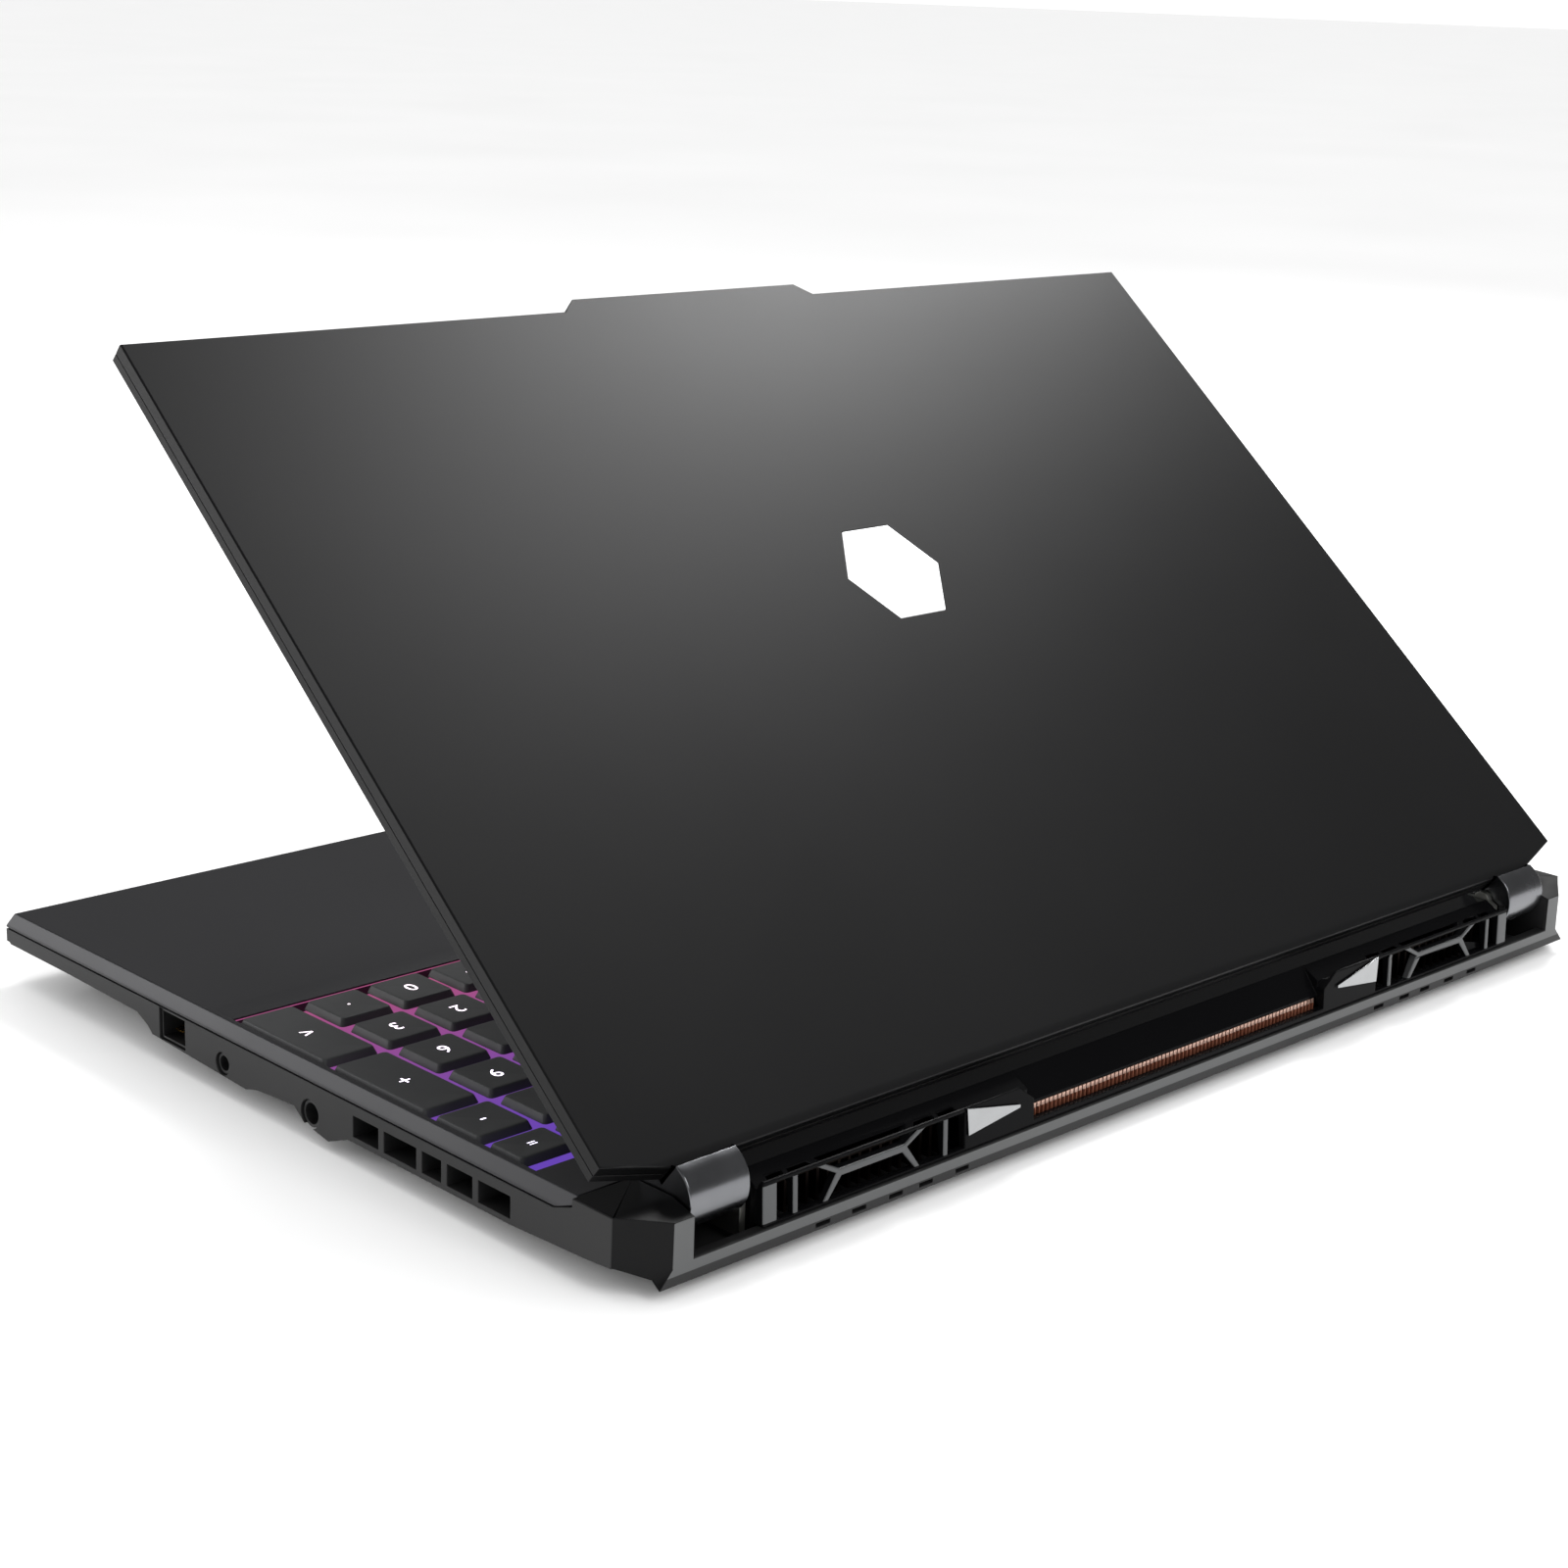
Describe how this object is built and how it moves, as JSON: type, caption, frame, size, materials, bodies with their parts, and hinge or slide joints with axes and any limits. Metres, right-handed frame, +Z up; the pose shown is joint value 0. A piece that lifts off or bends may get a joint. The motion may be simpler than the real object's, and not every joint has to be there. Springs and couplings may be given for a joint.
{
  "type": "laptop computer",
  "caption": "Gaming laptop computer with hinged lid, backlit keyboard with number pad, ribbed rear exhaust and side sockets, shown with the lid part open.",
  "frame": {"origin": "middle of the footprint on the surface that the feet stand on", "axes": "+X to the user's right, +Y from the front edge to the hinge side, +Z up"},
  "size_m": [0.36, 0.252, 0.1788],
  "materials": {
    "shell_base": "satin dark grey paint on moulded shell",
    "shell_lid": "matt black anodised and sandblasted",
    "black_plastic": "dark moulded plastic",
    "bright_trim": "bright satin metal trim",
    "hinge_metal": "satin gunmetal",
    "copper": "bare copper",
    "circuit_board": "lacquered board",
    "port_metal": "plated steel",
    "keycap": "fine-textured moulded caps",
    "touch_surface": "etched glass",
    "emblem_light": "translucent, lit from behind",
    "screen_glass": "anti-glare panel, switched off",
    "rubber_foot": "matt rubber"
  },
  "bodies": {
    "base": {"bottom_case": "shell_base", "top_case": "shell_base", "rear_shroud": "black_plastic", "accent_wedge_left": "bright_trim", "accent_wedge_right": "bright_trim", "keyboard_tray": "black_plastic", "keycap_field": "keycap", "motherboard": "circuit_board", "battery_pack": "black_plastic", "heat_pipes": "copper", "heatsink_center": "copper", "heatsink_left": "copper", "heatsink_right": "copper", "fan_housing_left": "black_plastic", "fan_housing_right": "black_plastic", "ssd_module": "circuit_board", "memory_module": "circuit_board", "wifi_card": "circuit_board", "speaker_left": "black_plastic", "speaker_right": "black_plastic", "hinge_bracket_left": "hinge_metal", "hinge_bracket_right": "hinge_metal", "ethernet_jack": "black_plastic", "audio_jack": "black_plastic", "power_inlet": "black_plastic", "usb_a_port": "port_metal", "usb_c_port": "port_metal", "hdmi_port": "port_metal", "foot_front_left": "rubber_foot", "foot_front_right": "rubber_foot", "foot_rear": "rubber_foot"},
    "lid": {"lid_cover": "shell_lid", "lid_emblem": "emblem_light", "screen_bezel": "black_plastic", "lcd_panel": "screen_glass", "webcam_module": "black_plastic", "hinge_barrel_left": "hinge_metal", "hinge_barrel_right": "hinge_metal"},
    "fan_left": {"fan_impeller_left": "black_plastic"},
    "fan_right": {"fan_impeller_right": "black_plastic"},
    "touchpad_plate": {"touchpad": "touch_surface"},
    "power_key": {"power_button": "keycap"},
    "press_key_space": {"key_space": "keycap"},
    "press_key_0": {"key_0": "keycap"},
    "press_key_decimal": {"key_decimal": "keycap"},
    "press_key_1": {"key_1": "keycap"},
    "press_key_2": {"key_2": "keycap"},
    "press_key_3": {"key_3": "keycap"},
    "press_key_4": {"key_4": "keycap"},
    "press_key_5": {"key_5": "keycap"},
    "press_key_6": {"key_6": "keycap"},
    "press_key_plus": {"key_plus": "keycap"},
    "press_key_7": {"key_7": "keycap"},
    "press_key_8": {"key_8": "keycap"},
    "press_key_9": {"key_9": "keycap"},
    "press_key_enter": {"key_enter": "keycap"}
  },
  "joints": [
    {"name": "lid_hinge", "type": "hinge", "parent": "base", "child": "lid", "pos_m": [0, 0.116, 0.0185], "axis": [-1, 0, 0], "range_deg": [-40, 75]},
    {"name": "fan_left_spin", "type": "hinge", "parent": "base", "child": "fan_left", "pos_m": [-0.118, 0.066, 0.009], "axis": [0, 0, 1], "continuous": true},
    {"name": "fan_right_spin", "type": "hinge", "parent": "base", "child": "fan_right", "pos_m": [0.118, 0.066, 0.009], "axis": [0, 0, 1], "continuous": true},
    {"name": "touchpad_click", "type": "slide", "parent": "base", "child": "touchpad_plate", "axis": [0, 0, -1], "range_m": [0, 0.0003], "stiffness_N_per_m": 3000},
    {"name": "power_press", "type": "slide", "parent": "base", "child": "power_key", "axis": [0, 0, -1], "range_m": [0, 0.0006], "stiffness_N_per_m": 900},
    {"name": "key_space_travel", "type": "slide", "parent": "base", "child": "press_key_space", "axis": [0, 0, -1], "range_m": [0, 0.0017], "stiffness_N_per_m": 300},
    {"name": "key_0_travel", "type": "slide", "parent": "base", "child": "press_key_0", "axis": [0, 0, -1], "range_m": [0, 0.0017], "stiffness_N_per_m": 300},
    {"name": "key_decimal_travel", "type": "slide", "parent": "base", "child": "press_key_decimal", "axis": [0, 0, -1], "range_m": [0, 0.0017], "stiffness_N_per_m": 300},
    {"name": "key_1_travel", "type": "slide", "parent": "base", "child": "press_key_1", "axis": [0, 0, -1], "range_m": [0, 0.0017], "stiffness_N_per_m": 300},
    {"name": "key_2_travel", "type": "slide", "parent": "base", "child": "press_key_2", "axis": [0, 0, -1], "range_m": [0, 0.0017], "stiffness_N_per_m": 300},
    {"name": "key_3_travel", "type": "slide", "parent": "base", "child": "press_key_3", "axis": [0, 0, -1], "range_m": [0, 0.0017], "stiffness_N_per_m": 300},
    {"name": "key_4_travel", "type": "slide", "parent": "base", "child": "press_key_4", "axis": [0, 0, -1], "range_m": [0, 0.0017], "stiffness_N_per_m": 300},
    {"name": "key_5_travel", "type": "slide", "parent": "base", "child": "press_key_5", "axis": [0, 0, -1], "range_m": [0, 0.0017], "stiffness_N_per_m": 300},
    {"name": "key_6_travel", "type": "slide", "parent": "base", "child": "press_key_6", "axis": [0, 0, -1], "range_m": [0, 0.0017], "stiffness_N_per_m": 300},
    {"name": "key_plus_travel", "type": "slide", "parent": "base", "child": "press_key_plus", "axis": [0, 0, -1], "range_m": [0, 0.0017], "stiffness_N_per_m": 300},
    {"name": "key_7_travel", "type": "slide", "parent": "base", "child": "press_key_7", "axis": [0, 0, -1], "range_m": [0, 0.0017], "stiffness_N_per_m": 300},
    {"name": "key_8_travel", "type": "slide", "parent": "base", "child": "press_key_8", "axis": [0, 0, -1], "range_m": [0, 0.0017], "stiffness_N_per_m": 300},
    {"name": "key_9_travel", "type": "slide", "parent": "base", "child": "press_key_9", "axis": [0, 0, -1], "range_m": [0, 0.0017], "stiffness_N_per_m": 300},
    {"name": "key_enter_travel", "type": "slide", "parent": "base", "child": "press_key_enter", "axis": [0, 0, -1], "range_m": [0, 0.0017], "stiffness_N_per_m": 300}
  ]
}
